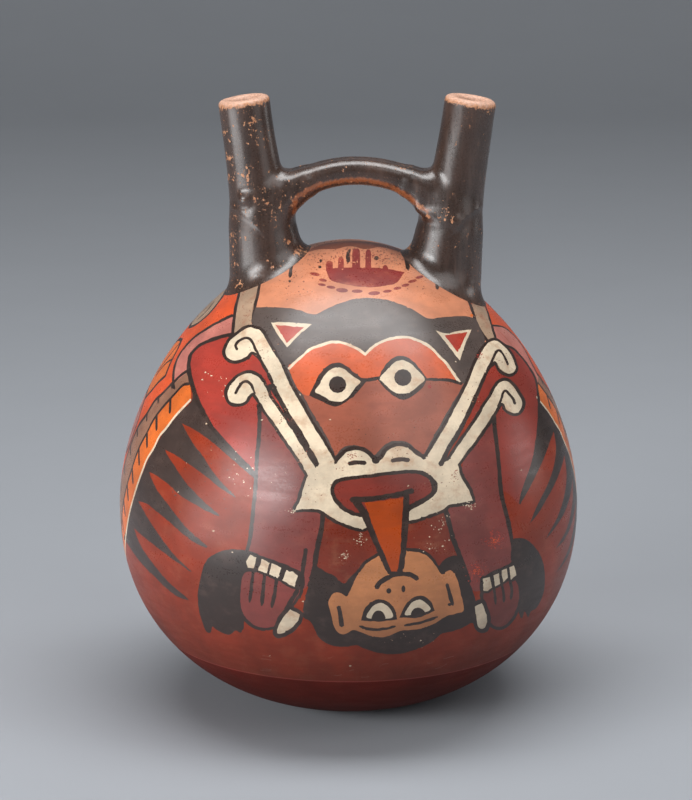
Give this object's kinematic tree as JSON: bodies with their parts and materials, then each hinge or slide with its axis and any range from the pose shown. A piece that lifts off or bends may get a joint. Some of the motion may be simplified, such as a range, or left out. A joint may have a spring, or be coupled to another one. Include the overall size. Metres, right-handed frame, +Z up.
{
  "type": "double spout bottle",
  "caption": "Round earthenware bottle, slip painted, with paired leaning spouts joined by an arched strap bridge that serves as its handle; holds and pours liquid.",
  "frame": {"origin": "on the table, under the middle of the flattened foot", "axes": "+Z up, the painted front faces -Y, the spouts stand side by side along X"},
  "size_m": [0.15, 0.15, 0.2004],
  "materials": {
    "red_slip": "burnished",
    "orange_slip": "burnished",
    "black_slip": "burnished"
  },
  "bodies": {
    "root": {"base_bowl": "red_slip", "shoulder_wall": "orange_slip", "crown_disc": "orange_slip", "left_spout": "black_slip", "right_spout": "black_slip", "left_spout_collar": "black_slip", "right_spout_collar": "black_slip", "bridge": "black_slip", "left_bridge_lute": "black_slip", "right_bridge_lute": "black_slip"}
  },
  "joints": []
}
